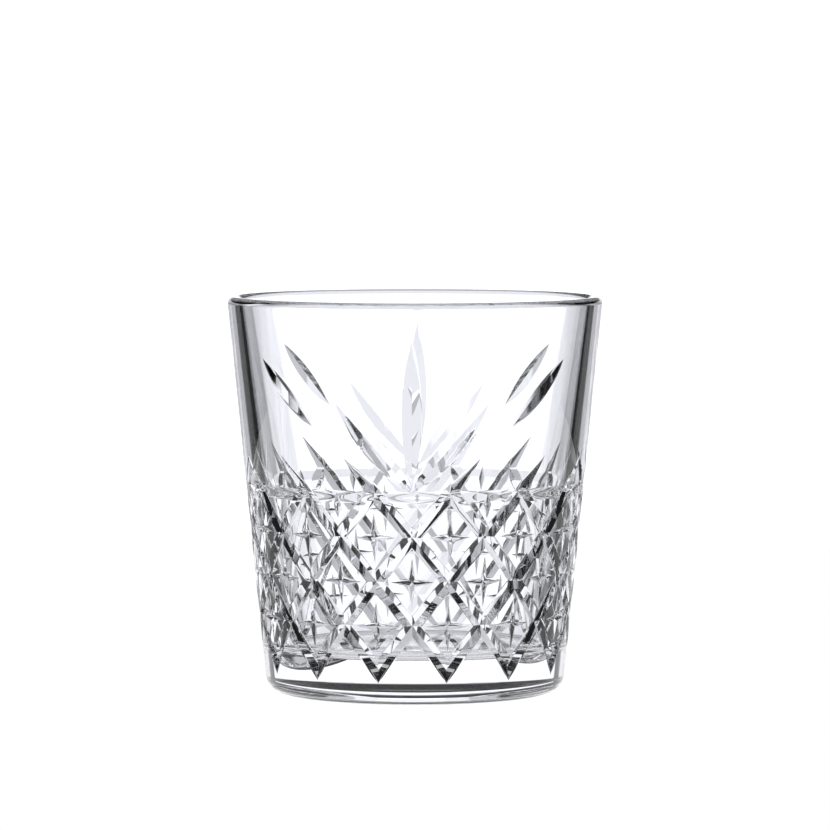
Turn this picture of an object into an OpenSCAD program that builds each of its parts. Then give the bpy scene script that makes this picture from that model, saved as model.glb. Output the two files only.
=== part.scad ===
// Whiskey tumbler: one piece of pressed glass with a cut lattice, stars and two leaf fans.
// Millimetres, +Z up. The glass stands on z = 0 with its axis on Z, and the front fan faces -Y.

/* [Outside] */
// Height from the table to the lip
height = 94; // [80:1:115]
// Outside diameter of the straight wall carried up to the lip
rim_d = 89.4; // [75:0.2:110]
// Outside diameter of the straight wall carried down to the table
base_d = 70.3; // [60:0.1:90]

/* [Glass thickness] */
// Wall thickness at the lip
rim_wall = 3.3; // [2.6:0.1:4.5]
// Wall thickness at the floor of the bowl
floor_wall = 6; // [4.5:0.1:7]
// Thickness of the floor of the bowl
floor_t = 10.5; // [7:0.5:16]
// How far the wall steps into the bowl behind the lattice
step_in = 0.6; // [0.3:0.1:1]
// Height over which the wall steps in
step_h = 3; // [2:0.5:5]
// Depth of the middle of the step below the top row of crossings
step_drop = 1; // [0:0.5:3]

/* [Rounded edges] */
// Radius of the lip, limited by half the wall there
lip_r = 1.5; // [0.5:0.1:2]
// Radius where the outside wall turns under the foot
foot_r = 4.2; // [2:0.1:6]
// Radius inside, between the floor and the wall
bowl_r = 3; // [1:0.5:8]

/* [Hollow under the foot] */
// Width of the flat ring that the glass stands on
ring_w = 4.2; // [2:0.1:6]
// Depth of the hollow at its centre
hollow_depth = 1.2; // [0.5:0.1:3]

/* [Lattice] */
// Columns of diamonds round the glass
columns = 14; // [10:2:18]
// Height of the lowest row of crossings
lattice_z = 8.5; // [7:0.1:10]
// Height from one row of crossings to the next
row_h = 10.37; // [9:0.01:12.5]
// Width of a lattice groove at the surface
groove_w = 3.3; // [2:0.1:4]
// Depth of a lattice groove
groove_d = 0.9; // [0.5:0.05:1.2]

/* [Stars] */
// Length of a star's level cut
star_w = 10; // [6:0.5:11]
// Length of a star's upright cut
star_h = 12; // [8:0.5:13]
// Width of a star's cuts at their middle
star_cut_w = 1.8; // [1:0.1:2.5]
// Depth of a star's cuts at their middle
star_cut_d = 0.5; // [0.3:0.05:0.8]

/* [Crown] */
// Height that the outward points of the crown rise above the top row of crossings
crown_rise = 8.1; // [5:0.1:12]
// Turn of a crown point from its crossing, in degrees
crown_turn = 10; // [6:0.5:12]

/* [Leaf fans] */
// Fans round the glass
fans = 2; // [1:1:2]
// Plain band left between the tallest leaf and the lip
rim_band = 8.6; // [3:0.1:14]
// Width of the middle leaf
middle_leaf_w = 4.8; // [3:0.1:6]
// Height of a side leaf's tip, as a share of the fan's height
side_leaf_top = 0.587; // [0.4:0.001:0.8]
// Turn of a side leaf's tip from the fan's middle, in degrees
side_leaf_turn = 24.9; // [18:0.1:28]
// Width of a side leaf
side_leaf_w = 5.2; // [3:0.1:6]
// Height of an outer leaf's lower tip, as a share of the fan's height
outer_leaf_foot = 0.427; // [0.3:0.001:0.5]
// Turn of an outer leaf's lower tip from the fan's middle, in degrees
outer_leaf_foot_turn = 33.7; // [30:0.1:36]
// Height of an outer leaf's upper tip, as a share of the fan's height
outer_leaf_top = 0.859; // [0.7:0.001:0.95]
// Turn of an outer leaf's upper tip from the fan's middle, in degrees
outer_leaf_turn = 54; // [48:0.5:58]
// Width of an outer leaf
outer_leaf_w = 3.6; // [2:0.1:5]
// Depth of the leaves at their middle
leaf_d = 0.8; // [0.4:0.05:1]

/* [Hidden] */

$fn = 96;

// Layers of diamonds between the lowest and the highest row of crossings
layers = 4;
top_z = lattice_z + layers * row_h;
pitch = 360 / columns;
fan_h = height - rim_band - top_z;

// The straight walls, outside and inside
wall_slope = (rim_d - base_d) / 2 / height;
bowl_rim = rim_d / 2 - rim_wall - step_in;
bowl_foot = outer(floor_t) - floor_wall;
bowl_slope = (bowl_rim - bowl_foot) / (height - floor_t);
lean = atan(wall_slope);
bowl_lean = atan(bowl_slope);

// The rounded edges
lip = min(lip_r, rim_wall * 0.47);
ring_out = outer(0) - foot_r * tan(45 - lean / 2);
ring_in = ring_out - ring_w;
arc_steps = 10;

// The step inside the bowl
step_z = top_z - step_drop;
step_steps = 8;

// A cutter runs this far past the end of its cut, and stands this far out of the glass
overrun = 0.08;
lift = 1.2;
// Grooves that are mitred together overlap by this share of a layer
mitre_overlap = 0.015;
// Points along a lattice groove for each layer, and along a leaf
groove_steps = 2;
leaf_steps = 10;

// Radius at a height of the straight wall outside, and of the one inside below the step
function outer(z) = base_d / 2 + wall_slope * z;
function inner(z) = bowl_foot + bowl_slope * (z - floor_t);

// Points of an arc about a centre, in the plane of the profile
function arc(centre, r, from, to, steps) = [
    for (i = [0:steps])
        let (a = from + (to - from) * i / steps)
        [centre[0] + r * cos(a), centre[1] + r * sin(a)]
];

// Points of the shallow hollow, from the centre out to the standing ring
function hollow_points() =
    let (r = (ring_in * ring_in + hollow_depth * hollow_depth) / (2 * hollow_depth))
    let (half = asin(ring_in / r))
    arc([0, hollow_depth - r], r, 90, 90 - half, arc_steps);

// Points of the smooth step inside, from the thinner wall above it down to the thicker wall below
function step_points() = [
    for (i = [0:step_steps])
        let (t = i / step_steps)
        let (z = step_z + step_h * (0.5 - t))
        [inner(z) + step_in * (1 - t * t * (3 - 2 * t)), z]
];

// Half of the glass, cut through its axis
function profile() =
    let (foot_z = foot_r)
    let (foot_x = outer(foot_z) - foot_r / cos(lean))
    let (lip_z = height - lip)
    let (lip_out = outer(lip_z) - lip / cos(lean))
    let (lip_in = inner(lip_z) + step_in + lip / cos(bowl_lean))
    let (bowl_z = floor_t + bowl_r)
    let (bowl_x = inner(bowl_z) - bowl_r / cos(bowl_lean))
    concat(
        hollow_points(),
        arc([foot_x, foot_z], foot_r, -90, -lean, arc_steps),
        arc([lip_out, lip_z], lip, -lean, 90, arc_steps),
        arc([lip_in, lip_z], lip, 90, 180 - bowl_lean, arc_steps),
        step_points(),
        arc([bowl_x, bowl_z], bowl_r, -bowl_lean, -90, arc_steps),
        [[0, floor_t]]
    );

// A place on the outside wall. A stop is [turn from the front, height]
function on_wall(stop) =
    let (r = outer(stop[1]))
    [r * sin(stop[0]), -r * cos(stop[0]), stop[1]];

function unit(v) = v / norm(v);

// Direction of the path at one of its stops
function heading(path, i) =
    unit(on_wall(path[min(i + 1, len(path) - 1)]) - on_wall(path[max(i - 1, 0)]));

// Straight out of the wall, and straight up along it
function out_of_wall(turn) = unit([sin(turn), -cos(turn), -wall_slope]);
function up_wall(turn) = unit([wall_slope * sin(turn), -wall_slope * cos(turn), 1]);

// Half the width of a cut's section. A mitred section lies in the plane of the axis
function half_span(path, i, spread, mitre) =
    let (square = unit(cross(heading(path, i), out_of_wall(path[i][0]))))
    let (up = up_wall(path[i][0]))
    spread * (mitre ? up / (up * square) : square);

// The V section of a cut at one stop: its crease, then its two upper corners
function section(path, depths, spread, i, mitre) =
    let (away = out_of_wall(path[i][0]))
    let (crease = on_wall(path[i]) - depths[i] * away)
    let (rise = depths[i] + lift)
    let (half = rise * half_span(path, i, spread, mitre))
    [crease, crease + rise * away + half, crease + rise * away - half];

// A V-shaped cutter along a path on the wall, with a depth for each stop
module v_cut(path, depths, spread, mitred = false) {
    last = len(path) - 1;
    points = [
        for (i = [0:last])
            each section(path, depths, spread, i, mitred && (i == 0 || i == last))
    ];
    sides = [
        for (i = [0:last - 1])
            for (k = [0:2])
                let (a = 3 * i + k, b = 3 * i + (k + 1) % 3)
                each [[b, a + 3, a], [b + 3, a + 3, b]]
    ];
    ends = [[2, 1, 0], [3 * last, 3 * last + 1, 3 * last + 2]];
    polyhedron(points, concat(ends, sides));
}

// A pointed cut between two stops, deepest at its middle. Bow 2 makes a leaf, and bow 1 a diamond.
module pointed_cut(from, to, width, depth, steps, bow) {
    t = [for (i = [0:steps]) (1 + overrun) * (2 * i / steps - 1)];
    path = [for (s = t) (from + to) / 2 + s * (to - from) / 2];
    depths = [for (s = t) depth * (1 - pow(abs(s), bow))];
    v_cut(path, depths, width / 2 / depth);
}

// Groove up the whole lattice, leaning one way or the other, mitred with its mirror image at both ends
module lattice_groove(start, way) {
    stops = layers * groove_steps;
    path = [
        for (i = [0:stops])
            let (k = i / groove_steps + mitre_overlap * (2 * i / stops - 1))
            [start + way * k * pitch / 2, lattice_z + k * row_h]
    ];
    v_cut(path, [for (p = path) groove_d], groove_w / 2 / groove_d, true);
}

module lattice() {
    for (c = [0:columns - 1])
        for (way = [-1, 1])
            lattice_groove((c + 0.5) * pitch, way);
}

// Four-pointed star in a whole diamond
module star(turn, z) {
    level = star_w / 2 / outer(z) * 180 / PI;
    pointed_cut([turn - level, z], [turn + level, z], star_cut_w, star_cut_d, 4, 1);
    pointed_cut([turn, z - star_h / 2], [turn, z + star_h / 2], star_cut_w, star_cut_d, 2, 1);
}

module stars() {
    for (k = [1:layers - 1])
        for (c = [0:columns - 1])
            star((c + (k % 2 == 1 ? 0.5 : 0)) * pitch, lattice_z + k * row_h);
}

// Lower arm of a star, in the open diamonds along the top
module half_star(turn) {
    pointed_cut([turn, top_z - star_h / 2], [turn, top_z], star_cut_w, star_cut_d, 2, 1);
}

// Is the open diamond at this column the foot of a fan?
function is_fan(c) = c % (columns / fans) == 0;

// Place of a column of crossings in its fan, from the fan's middle
function from_fan(turn) =
    let (sector = 360 / fans)
    let (t = turn % sector)
    t > sector / 2 ? t - sector : t;

// Point that runs on from a crossing of the top row, tapering to its tip
module crown_point(turn, way) {
    path = [
        for (i = [0:4])
            [turn + way * crown_turn * i / 4 * (1 + overrun), top_z + crown_rise * i / 4 * (1 + overrun)]
    ];
    depths = [for (i = [0:4]) groove_d * (1 - i / 4 * (1 + overrun))];
    v_cut(path, depths, groove_w / 2 / groove_d);
}

module crown() {
    for (c = [0:columns - 1]) {
        if (!is_fan(c))
            half_star(c * pitch);
        turn = (c + 0.5) * pitch;
        place = from_fan(turn);
        between = abs(abs(place) - 180 / fans) < 0.01;
        for (way = between ? [-1, 1] : [sign(place)])
            crown_point(turn, way);
    }
}

// Leaf between two places in a fan, each [turn from the front, share of the fan's height]
module leaf(from, to, width) {
    pointed_cut([from[0], top_z + fan_h * from[1]], [to[0], top_z + fan_h * to[1]],
        width, leaf_d, leaf_steps, 2);
}

// Fan of leaves: one upright, two beside it from the same foot, and two further out
module fan(middle) {
    leaf([middle, 0], [middle, 1], middle_leaf_w);
    for (way = [-1, 1]) {
        leaf([middle, 0], [middle + way * side_leaf_turn, side_leaf_top], side_leaf_w);
        leaf([middle + way * outer_leaf_foot_turn, outer_leaf_foot],
            [middle + way * outer_leaf_turn, outer_leaf_top], outer_leaf_w);
    }
}

module tumbler() {
    color([0.86, 0.88, 0.92, 0.45])
        difference() {
            difference() {
                rotate_extrude()
                    polygon(profile());
                lattice();
            }
            union() {
                stars();
                crown();
                for (f = [0:fans - 1])
                    fan(f * 360 / fans);
            }
        }
}

tumbler();
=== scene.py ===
"""Whiskey tumbler: one piece of clear pressed glass with a cut lattice, stars and two fans of leaves."""

import math

import bpy
import numpy as np
from mathutils import Euler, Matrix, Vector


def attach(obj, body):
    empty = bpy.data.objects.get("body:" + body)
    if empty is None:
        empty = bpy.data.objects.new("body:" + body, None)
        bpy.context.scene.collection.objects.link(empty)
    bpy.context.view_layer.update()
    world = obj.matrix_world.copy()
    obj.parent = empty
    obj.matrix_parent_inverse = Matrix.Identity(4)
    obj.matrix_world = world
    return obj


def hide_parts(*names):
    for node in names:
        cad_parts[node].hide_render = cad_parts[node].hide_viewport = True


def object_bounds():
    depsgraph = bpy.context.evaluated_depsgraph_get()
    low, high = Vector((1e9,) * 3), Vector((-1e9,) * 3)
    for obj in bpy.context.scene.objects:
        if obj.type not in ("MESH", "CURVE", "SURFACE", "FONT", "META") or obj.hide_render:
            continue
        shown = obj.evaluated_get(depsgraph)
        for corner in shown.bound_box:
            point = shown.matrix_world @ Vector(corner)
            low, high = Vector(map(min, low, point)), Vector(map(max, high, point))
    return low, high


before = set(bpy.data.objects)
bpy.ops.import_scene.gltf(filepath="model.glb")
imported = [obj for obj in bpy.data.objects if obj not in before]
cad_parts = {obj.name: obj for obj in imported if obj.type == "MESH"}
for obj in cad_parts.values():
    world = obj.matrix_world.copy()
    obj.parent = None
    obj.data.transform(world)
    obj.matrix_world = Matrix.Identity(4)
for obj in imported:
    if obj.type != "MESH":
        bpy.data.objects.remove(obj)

CAD_LOW, CAD_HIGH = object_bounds()
MM = 0.001

# The glass, in millimetres, with the CAD part's values, but for its two diameters: they are 0.04 smaller,
# so that this rounder glass stays inside the box of the CAD part's mesh.
HEIGHT = CAD_HIGH[2] / MM
RIM_D = 89.36
BASE_D = 70.26
RIM_WALL = 3.3
FLOOR_WALL = 6.0
FLOOR_T = 10.5
STEP_IN = 0.6
STEP_H = 3.0
STEP_DROP = 1.0
LIP_R = 1.5
FOOT_R = 4.2
BOWL_R = 3.0
RING_W = 4.2
HOLLOW_DEPTH = 1.2

# The lattice: columns of diamonds, and rows of crossings.
COLUMNS = 14
LAYERS = 4
LATTICE_Z = 8.5
ROW_H = 10.37
TOP_Z = LATTICE_Z + LAYERS * ROW_H
PITCH = 360 / COLUMNS
GROOVE_W = 3.3
GROOVE_D = 0.9

# A cut's bow says how its depth fades from its middle to its tips: 1 makes a diamond, and 2 a leaf.
DIAMOND, LEAF = 1, 2

# The stars in the diamonds, and the points of the crown above them.
STAR_W = 10.0
STAR_H = 12.0
STAR_CUT_W = 1.8
STAR_CUT_D = 0.5
CROWN_RISE = 8.1
CROWN_TURN = 10.0

# The leaf fans: turns in degrees from a fan's middle, heights as shares of the fan's height.
FANS = 2
RIM_BAND = 8.6
FAN_H = HEIGHT - RIM_BAND - TOP_Z
LEAF_D = 0.8
MIDDLE_LEAF_W = 4.8
SIDE_LEAF_TURN, SIDE_LEAF_TOP, SIDE_LEAF_W = 24.9, 0.587, 5.2
OUTER_LEAF_FOOT_TURN, OUTER_LEAF_FOOT = 33.7, 0.427
OUTER_LEAF_TURN, OUTER_LEAF_TOP, OUTER_LEAF_W = 54.0, 0.859, 3.6

# How finely the mesh is made.
ROUND_STEPS = 560
EDGE_STEPS = 14
GROOVE_STEPS = 6
STAR_STEPS = 8
LEAF_STEPS = 28

# The cutters. They run on past the tips of pointed cuts by the share OVERRUN, and past the mitres of the
# lattice by a share of a row. They stand LIFT above the wall, and above a cut's edges they open out by
# FLARE on each side, at one in FLARE_SLOPE.
OVERRUN = 0.05
MITRE_OVERLAP = 0.01
LIFT = 1.2
FLARE, FLARE_SLOPE = 1.2, 6.0

# The softened edge of a cut: its size where the cut is deeper than SOFT_DEPTH, then its least size and
# the least height of the cutter's V, where a cut runs out at its tip.
EDGE_SOFT, SOFT_DEPTH = 0.13, 0.3
LEAST_SOFT, LEAST_RISE = 0.004, 0.02
# Its middle lies a third of its size below the wall, and its outer end a sixth above it.
SOFT_MIDDLE, SOFT_END = 3, 6

# Shading: the least angle of a hard crease in degrees, how strongly large faces outweigh small ones in
# their shared normals, how near to a turned surface a vertex counts as on it, in millimetres, and how
# closely a face must follow that surface to be shaded as part of it.
SHARP_ANGLE = 13
FACE_WEIGHT = 100
ON_SURFACE = 0.003
ALIKE = math.cos(math.radians(5))

WALL_SLOPE = (RIM_D - BASE_D) / 2 / HEIGHT
LEAN = math.atan(WALL_SLOPE)


def outer(z):
    """Radius of the straight outside wall at a height."""
    return BASE_D / 2 + WALL_SLOPE * z


BOWL_FOOT = outer(FLOOR_T) - FLOOR_WALL
BOWL_SLOPE = (RIM_D / 2 - RIM_WALL - STEP_IN - BOWL_FOOT) / (HEIGHT - FLOOR_T)
BOWL_LEAN = math.atan(BOWL_SLOPE)


def inner(z):
    """Radius of the straight inside wall below the step, at a height."""
    return BOWL_FOOT + BOWL_SLOPE * (z - FLOOR_T)


def arc(x, z, r, start, end, side=1):
    """Stops along an arc of the profile, each with its radius, its height and the surface's normal."""
    angles = np.linspace(start, end, EDGE_STEPS + 1)
    ways = [(math.cos(a), math.sin(a)) for a in angles]
    return [(x + r * c, z + r * s, side * c, side * s) for c, s in ways]


def step():
    """Stops along the smooth step inside, from the thinner wall above it down to the thicker wall below.

    The share t * t * (3 - 2 * t) of the step has been taken at t, and 6 * t * (1 - t) is its slope.
    """
    stops = []
    for t in np.linspace(0, 1, EDGE_STEPS + 1):
        z = TOP_Z - STEP_DROP + STEP_H * (0.5 - t)
        slope = BOWL_SLOPE + STEP_IN * 6 * t * (1 - t) / STEP_H
        length = math.hypot(1, slope)
        stops.append((inner(z) + STEP_IN * (1 - t * t * (3 - 2 * t)), z, -1 / length, slope / length))
    return stops


def profile():
    """Half of the glass cut through its axis, from under the foot round to the bowl's floor."""
    quarter = math.pi / 2
    foot_x = outer(FOOT_R) - FOOT_R / math.cos(LEAN)
    ring_in = foot_x - RING_W
    hollow_r = (ring_in**2 + HOLLOW_DEPTH**2) / (2 * HOLLOW_DEPTH)
    hollow_half = math.asin(ring_in / hollow_r)
    lip_z = HEIGHT - LIP_R
    lip_out = outer(lip_z) - LIP_R / math.cos(LEAN)
    lip_in = inner(lip_z) + STEP_IN + LIP_R / math.cos(BOWL_LEAN)
    bowl_z = FLOOR_T + BOWL_R
    bowl_x = inner(bowl_z) - BOWL_R / math.cos(BOWL_LEAN)
    return (
        arc(0, HOLLOW_DEPTH - hollow_r, hollow_r, quarter, quarter - hollow_half, -1)
        + arc(foot_x, FOOT_R, FOOT_R, -quarter, -LEAN)
        + arc(lip_out, lip_z, LIP_R, -LEAN, quarter)
        + arc(lip_in, lip_z, LIP_R, quarter, math.pi - BOWL_LEAN)
        + step()
        + arc(bowl_x, bowl_z, BOWL_R, -BOWL_LEAN, -quarter, -1)
        + [(0, FLOOR_T, 0, 1)]
    )


def place(turn, z, r):
    """A place round the glass, by its turn from the front in degrees, its height and its radius."""
    a = math.radians(turn)
    return np.array([r * math.sin(a), -r * math.cos(a), z])


def make_object(name, verts, faces):
    """A mesh object from points in millimetres."""
    mesh = bpy.data.meshes.new(name)
    mesh.from_pydata([tuple(v) for v in np.array(verts) * MM], [], faces)
    piece = bpy.data.objects.new(name, mesh)
    bpy.context.collection.objects.link(piece)
    return piece


def turned_body():
    """The plain glass: its profile turned round the axis."""
    outline = profile()
    first, last = outline[0], outline[-1]
    rings = outline[1:-1]
    verts = [
        place(360 * s / ROUND_STEPS, z, r)
        for r, z, _, _ in rings
        for s in range(ROUND_STEPS)
    ]
    faces = []
    for i in range(len(rings) - 1):
        for s in range(ROUND_STEPS):
            a, b = i * ROUND_STEPS + s, i * ROUND_STEPS + (s + 1) % ROUND_STEPS
            faces.append((a, b, b + ROUND_STEPS, a + ROUND_STEPS))
    top = (len(rings) - 1) * ROUND_STEPS
    for s in range(ROUND_STEPS):
        t = (s + 1) % ROUND_STEPS
        faces.append((len(verts), t, s))
        faces.append((len(verts) + 1, top + s, top + t))
    verts += [place(0, first[1], 0), place(0, last[1], 0)]
    return make_object("tumbler_glass", verts, faces)


def unit(v):
    """The vector of length 1 that points the same way."""
    return v / np.linalg.norm(v)


def cutter_outline(depth, spread):
    """A V with softened edges, from its crease up round both sides: each point's way out and height."""
    soften = LEAST_SOFT + EDGE_SOFT * min(1, max(depth, 0) / SOFT_DEPTH)
    rise = max(depth, LEAST_RISE)
    edge = spread * rise
    half = [
        (edge - spread * soften, rise - soften),
        (edge, rise - soften / SOFT_MIDDLE),
        (edge + spread * soften, rise + soften / SOFT_END),
        (edge + FLARE, rise + FLARE / FLARE_SLOPE),
        (edge + FLARE, rise + LIFT),
    ]
    return [(0, 0)] + half + [(-out, up) for out, up in half[::-1]]


def v_cut(stops, depths, spread, mitred=False):
    """Points and faces of a V-shaped cutter along stops on the wall, each a (turn, height)."""
    on_wall = [place(t, z, outer(z)) for t, z in stops]
    last = len(stops) - 1
    verts = []
    for i, (turn, _) in enumerate(stops):
        heading = unit(on_wall[min(i + 1, last)] - on_wall[max(i - 1, 0)])
        away = unit(place(turn, -WALL_SLOPE, 1))
        up = unit(place(turn, 1, WALL_SLOPE))
        square = unit(np.cross(heading, away))
        aside = up / up.dot(square) if mitred and i in (0, last) else square
        crease = on_wall[i] - depths[i] * away
        outline = cutter_outline(depths[i], spread)
        verts += [crease + rise * away + out * aside for out, rise in outline]
    count = len(outline)
    faces = [tuple(range(count)), tuple(range(count * (last + 1) - 1, count * last - 1, -1))]
    for i in range(last):
        for k in range(count):
            a, b = count * i + k, count * i + (k + 1) % count
            faces.append((a + count, b + count, b, a))
    return verts, faces


def pointed_cut(start, end, width, depth, steps, bow):
    """A straight cut that is deepest at its middle and comes to a point at both ends."""
    start, end = np.array(start), np.array(end)
    shares = (1 + OVERRUN) * np.linspace(-1, 1, steps + 1)
    stops = [(start + end) / 2 + s * (end - start) / 2 for s in shares]
    depths = [depth * (1 - abs(s) ** bow) for s in shares]
    return v_cut(stops, depths, width / 2 / depth)


def lattice_groove(start, way):
    """A groove up the whole lattice, mitred with its mirror image at both ends."""
    count = LAYERS * GROOVE_STEPS
    rows = [i / GROOVE_STEPS + MITRE_OVERLAP * (2 * i / count - 1) for i in range(count + 1)]
    stops = [(start + way * k * PITCH / 2, LATTICE_Z + k * ROW_H) for k in rows]
    return v_cut(stops, [GROOVE_D] * len(stops), GROOVE_W / 2 / GROOVE_D, mitred=True)


def star_places():
    """Turn and height of the middle of every whole diamond."""
    for k in range(1, LAYERS):
        for c in range(COLUMNS):
            yield (c + (0.5 if k % 2 else 0)) * PITCH, LATTICE_Z + k * ROW_H


def star_cut(start, end):
    """One cut of a star between two places on the wall, each a (turn, height)."""
    return pointed_cut(start, end, STAR_CUT_W, STAR_CUT_D, STAR_STEPS, DIAMOND)


def level_star_cut(turn, z):
    """The cut of a star that runs round the glass."""
    half = math.degrees(STAR_W / 2 / outer(z))
    return star_cut((turn - half, z), (turn + half, z))


def upright_star_cuts():
    """The upright cuts of whole stars, and the single arms in the open diamonds along the top."""
    half = STAR_H / 2
    whole = [star_cut((t, z - half), (t, z + half)) for t, z in star_places()]
    open_turns = [c * PITCH for c in range(COLUMNS) if c % (COLUMNS // FANS)]
    arms = [star_cut((t, TOP_Z - half), (t, TOP_Z)) for t in open_turns]
    return whole + arms


def crown_point(turn, way):
    """A groove that runs on from a crossing of the top row and tapers to its tip."""
    shares = [i / EDGE_STEPS * (1 + OVERRUN) for i in range(EDGE_STEPS + 1)]
    stops = [(turn + way * CROWN_TURN * s, TOP_Z + CROWN_RISE * s) for s in shares]
    return v_cut(stops, [GROOVE_D * (1 - s) for s in shares], GROOVE_W / 2 / GROOVE_D)


def crown_points(way):
    """The crown's points that lean one way.

    Each leans away from the nearest fan, and a crossing halfway between two fans has a point each way.
    """
    half_sector = 180 / FANS
    cuts = []
    for c in range(COLUMNS):
        turn = (c + 0.5) * PITCH
        from_fan = (turn + half_sector) % (2 * half_sector) - half_sector
        halfway = half_sector - abs(from_fan) < PITCH / 4
        if halfway or from_fan * way > 0:
            cuts.append(crown_point(turn, way))
    return cuts


def leaf(start, end, width):
    """A leaf between two places in a fan, each a turn and a share of the fan's height."""
    ends = [(turn, TOP_Z + FAN_H * share) for turn, share in (start, end)]
    return pointed_cut(*ends, width, LEAF_D, LEAF_STEPS, LEAF)


def middle_and_outer_leaves():
    """The upright leaf and the two detached leaves of every fan."""
    cuts = []
    for f in range(FANS):
        middle = f * 360 / FANS
        cuts.append(leaf((middle, 0), (middle, 1), MIDDLE_LEAF_W))
        for way in (-1, 1):
            foot = (middle + way * OUTER_LEAF_FOOT_TURN, OUTER_LEAF_FOOT)
            tip = (middle + way * OUTER_LEAF_TURN, OUTER_LEAF_TOP)
            cuts.append(leaf(foot, tip, OUTER_LEAF_W))
    return cuts


def side_leaves(way):
    """The leaf of every fan that leans one way from the foot of its upright leaf."""
    middles = [f * 360 / FANS for f in range(FANS)]
    return [leaf((m, 0), (m + way * SIDE_LEAF_TURN, SIDE_LEAF_TOP), SIDE_LEAF_W) for m in middles]


def cut_away(piece, cuts):
    """Cuts a set of cutters that don't touch each other out of the piece."""
    verts, faces = [], []
    for points, sides in cuts:
        faces += [tuple(len(verts) + i for i in f) for f in sides]
        verts += points
    cutter = make_object("cutter", verts, faces)
    modifier = piece.modifiers.new("cut", "BOOLEAN")
    modifier.operation = "DIFFERENCE"
    modifier.solver = "MANIFOLD"
    modifier.object = cutter
    bpy.context.view_layer.objects.active = piece
    bpy.ops.object.modifier_apply(modifier=modifier.name)
    mesh = cutter.data
    bpy.data.objects.remove(cutter)
    bpy.data.meshes.remove(mesh)


def cut_glass():
    """The turned glass with its whole pattern cut."""
    piece = turned_body()
    cut_sets = [
        [lattice_groove((c + 0.5) * PITCH, -1) for c in range(COLUMNS)],
        [lattice_groove((c + 0.5) * PITCH, 1) for c in range(COLUMNS)],
        [level_star_cut(t, z) for t, z in star_places()],
        upright_star_cuts(),
        crown_points(-1),
        crown_points(1),
        middle_and_outer_leaves(),
        side_leaves(-1),
        side_leaves(1),
    ]
    for cuts in cut_sets:
        cut_away(piece, cuts)
    return piece


def turned_normals(mesh):
    """The true normal at each vertex as if it lay on a turned surface, and whether it does."""
    points = np.array([v.co for v in mesh.vertices]) / MM
    radius = np.hypot(points[:, 0], points[:, 1])
    stops = np.array(profile())
    gaps = np.hypot(radius[:, None] - stops[:, 0], points[:, 2, None] - stops[:, 1])
    nearest = gaps.argmin(axis=1)
    on_stop = gaps.min(axis=1) < ON_SURFACE
    straight = (points[:, 2] > FOOT_R) & (points[:, 2] < HEIGHT - LIP_R)
    on_wall = ~on_stop & straight & (abs(radius - outer(points[:, 2])) < ON_SURFACE)
    across, up = stops[nearest, 2], stops[nearest, 3]
    across[on_wall], up[on_wall] = math.cos(LEAN), -math.sin(LEAN)
    round_axis = points[:, :2] / np.maximum(radius, ON_SURFACE)[:, None]
    return np.column_stack([round_axis * across[:, None], up]), on_stop | on_wall


def smooth_shading(piece):
    """Flat facets with soft edges and hard creases, and turned surfaces that bend light as if uncut."""
    piece.data.shade_smooth()
    piece.data.set_sharp_from_angle(angle=math.radians(SHARP_ANGLE))
    modifier = piece.modifiers.new("flat_facets", "WEIGHTED_NORMAL")
    modifier.weight = FACE_WEIGHT
    modifier.keep_sharp = True
    bpy.context.view_layer.objects.active = piece
    bpy.ops.object.modifier_apply(modifier=modifier.name)
    mesh = piece.data
    true_normals, turned = turned_normals(mesh)
    normals = [tuple(n.vector) for n in mesh.corner_normals]
    for face in mesh.polygons:
        corners = list(face.vertices)
        if turned[corners].all() and (true_normals[corners] @ np.array(face.normal)).min() > ALIKE:
            for loop, corner in zip(face.loop_indices, corners):
                normals[loop] = tuple(true_normals[corner])
    mesh.normals_split_custom_set(normals)


GLASS_TINT = (0.985, 0.99, 1.0, 1)
GLASS_IOR = 1.52
# The waviness of the surface, far too faint to see as a pattern.
WAVES_PER_METRE = 90
WAVE_DETAIL = 2
WAVE_STRENGTH = 0.001
WAVE_DEPTH = 0.001


def glass_material():
    """Clear soda-lime glass with the faint waviness of a pressed surface."""
    material = bpy.data.materials.new("clear_pressed_glass")
    material.use_nodes = True
    nodes, links = material.node_tree.nodes, material.node_tree.links
    shader = nodes["Principled BSDF"]
    shader.inputs["Base Color"].default_value = GLASS_TINT
    shader.inputs["Transmission Weight"].default_value = 1
    shader.inputs["IOR"].default_value = GLASS_IOR
    shader.inputs["Roughness"].default_value = 0
    where = nodes.new("ShaderNodeTexCoord")
    waves = nodes.new("ShaderNodeTexNoise")
    waves.inputs["Scale"].default_value = WAVES_PER_METRE
    waves.inputs["Detail"].default_value = WAVE_DETAIL
    bump = nodes.new("ShaderNodeBump")
    bump.inputs["Strength"].default_value = WAVE_STRENGTH
    bump.inputs["Distance"].default_value = WAVE_DEPTH
    links.new(where.outputs["Object"], waves.inputs["Vector"])
    links.new(waves.outputs["Fac"], bump.inputs["Height"])
    links.new(bump.outputs["Normal"], shader.inputs["Normal"])
    return material


FLOOR_R, FLOOR_STEPS = 420, 180
FLOOR_PAINT = (0.92, 0.92, 0.92, 1)
FLOOR_ROUGHNESS = 0.9


def make_floor():
    """A pale round floor that the glass stands on, which isn't seen through the glass."""
    verts = [place(360 * s / FLOOR_STEPS, 0, FLOOR_R) for s in range(FLOOR_STEPS)]
    floor = make_object("floor", verts, [tuple(range(FLOOR_STEPS))])
    material = bpy.data.materials.new("pale_floor")
    material.use_nodes = True
    shader = material.node_tree.nodes["Principled BSDF"]
    shader.inputs["Base Color"].default_value = FLOOR_PAINT
    shader.inputs["Roughness"].default_value = FLOOR_ROUGHNESS
    shader.inputs["Specular IOR Level"].default_value = 0
    floor.data.materials.append(material)
    floor.visible_transmission = False


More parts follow.
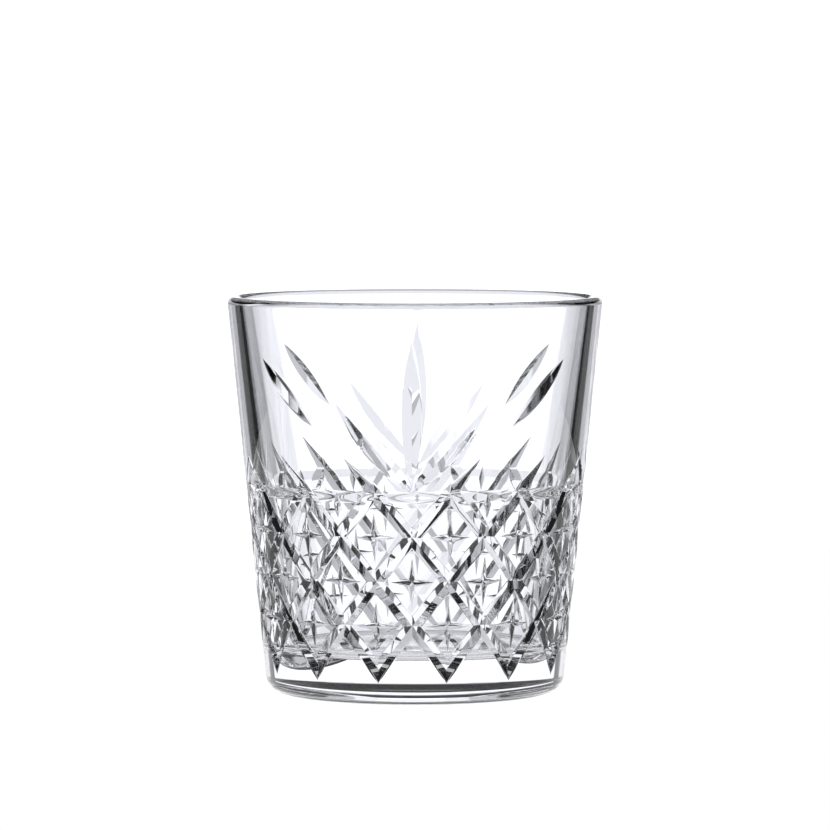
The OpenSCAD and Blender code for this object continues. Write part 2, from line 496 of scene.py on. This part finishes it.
# White panels round a dark studio. Each has the turn of its middle from straight behind the glass, half
# its width, its lowest and highest angle above the horizon, and how wide its soft edge is, all in
# degrees, and then its level. In turn: three behind the glass, the brightest narrowest; a low band that
# lights the foot; one at each side; one behind the camera; two small ones low down, for views from the
# corners; and one underneath.
PANELS = [
    (0, 8, -11, 5, 3, 1.0),
    (0, 15, -36, 7, 2, 0.72),
    (0, 24, -36, 7, 3, 0.4),
    (0, 60, 0, 6, 2, 0.86),
    (90, 18, -14, 4, 5, 0.82),
    (-90, 18, -14, 4, 5, 0.82),
    (180, 60, -20, 9, 6, 0.26),
    (-45, 13, -32, -18, 2, 0.86),
    (135, 13, -22, -8, 2, 0.86),
    (0, 180, -90, -42, 6, 0.45),
]
STUDIO_LEVEL = 0.01
STUDIO_TINT = (0.95, 0.955, 1.0, 1)
STUDIO_STRENGTH = 1.35
HALF_TURN = 180


def fade(nodes, links, value, start, end):
    """A share that goes smoothly from 0 at the start value to 1 at the end value."""
    share = nodes.new("ShaderNodeMapRange")
    share.interpolation_type = "SMOOTHSTEP"
    share.inputs["From Min"].default_value = start
    share.inputs["From Max"].default_value = end
    links.new(value, share.inputs["Value"])
    return share.outputs["Result"]


def math_node(nodes, links, operation, *values):
    """A Math node on constants and other nodes' values."""
    node = nodes.new("ShaderNodeMath")
    node.operation = operation
    for socket, value in zip(node.inputs, values):
        if isinstance(value, (int, float)):
            socket.default_value = value
        else:
            links.new(value, socket)
    return node.outputs["Value"]


def panel_light(nodes, links, heading, height, panel):
    """The light of one panel."""
    middle, half, low, high, soft, level = panel
    from_middle = math_node(nodes, links, "SUBTRACT", heading, middle)
    wrapped = math_node(nodes, links, "WRAP", from_middle, HALF_TURN, -HALF_TURN)
    aside = math_node(nodes, links, "ABSOLUTE", wrapped)
    shares = (
        fade(nodes, links, aside, half + soft, half),
        fade(nodes, links, height, low - soft, low),
        fade(nodes, links, height, high + soft, high),
    )
    light = level
    for share in shares:
        light = math_node(nodes, links, "MULTIPLY", light, share)
    return light


def make_world():
    """A dark studio with white panels behind the glass, as seen from each side."""
    world = bpy.data.worlds.new("studio")
    bpy.context.scene.world = world
    world.use_nodes = True
    nodes, links = world.node_tree.nodes, world.node_tree.links
    where = nodes.new("ShaderNodeTexCoord")
    parts = nodes.new("ShaderNodeSeparateXYZ")
    links.new(where.outputs["Generated"], parts.inputs["Vector"])
    turn = math_node(nodes, links, "ARCTAN2", parts.outputs["X"], parts.outputs["Y"])
    heading = math_node(nodes, links, "DEGREES", turn)
    rise = math_node(nodes, links, "ARCSINE", parts.outputs["Z"])
    height = math_node(nodes, links, "DEGREES", rise)
    light = STUDIO_LEVEL
    for panel in PANELS:
        panel_level = panel_light(nodes, links, heading, height, panel)
        light = math_node(nodes, links, "MAXIMUM", light, panel_level)
    strength = math_node(nodes, links, "MULTIPLY", light, STUDIO_STRENGTH)
    background = nodes["Background"]
    background.inputs["Color"].default_value = STUDIO_TINT
    links.new(strength, background.inputs["Strength"])


LAMP_ANGLE = math.radians(25)
LAMP_STRENGTH = 3.4


def make_lights():
    """A broad soft light straight above that lights the floor but doesn't show in the glass."""
    data = bpy.data.lights.new("softbox", "SUN")
    data.angle = LAMP_ANGLE
    data.energy = LAMP_STRENGTH
    lamp = bpy.data.objects.new("softbox", data)
    lamp.location = (0, 0, 1)
    lamp.visible_transmission = False
    lamp.visible_glossy = False
    bpy.context.collection.objects.link(lamp)


# The camera's turn, its distance from the axis, its height and the height that it looks at, in metres.
CAMERA_TURN = math.radians(1.0)
CAMERA_DISTANCE = 1.3
EYE_Z = 0.146
LOOK_Z = 0.0657
LENS, SENSOR = 237.7, 36


def make_camera():
    """A long lens a little above the lip, looking slightly down at the upper part of the glass."""
    data = bpy.data.cameras.new("camera")
    data.lens = LENS
    data.sensor_width = SENSOR
    camera = bpy.data.objects.new("camera", data)
    aside, ahead = math.sin(CAMERA_TURN), math.cos(CAMERA_TURN)
    camera.location = (CAMERA_DISTANCE * aside, -CAMERA_DISTANCE * ahead, EYE_Z)
    pitch = math.atan2(EYE_Z - LOOK_Z, CAMERA_DISTANCE)
    camera.rotation_euler = Euler((math.pi / 2 - pitch, 0, CAMERA_TURN))
    bpy.context.collection.objects.link(camera)
    bpy.context.scene.camera = camera


GLASS_BOUNCES, GLOSSY_BOUNCES = 32, 16
BRIGHTEST_BOUNCE = 8


def set_view():
    """Plain colours, and enough bounces for light to find its way through the cut glass."""
    scene = bpy.context.scene
    scene.view_settings.view_transform = "Standard"
    scene.cycles.max_bounces = GLASS_BOUNCES
    scene.cycles.transmission_bounces = GLASS_BOUNCES
    scene.cycles.glossy_bounces = GLOSSY_BOUNCES
    scene.cycles.transparent_max_bounces = GLOSSY_BOUNCES
    scene.cycles.sample_clamp_indirect = BRIGHTEST_BOUNCE


glass = cut_glass()
smooth_shading(glass)
glass.data.materials.clear()
glass.data.materials.append(glass_material())
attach(glass, "root")
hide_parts("tumbler")
glass.visible_shadow = False

make_floor()
make_world()
make_lights()
make_camera()
set_view()
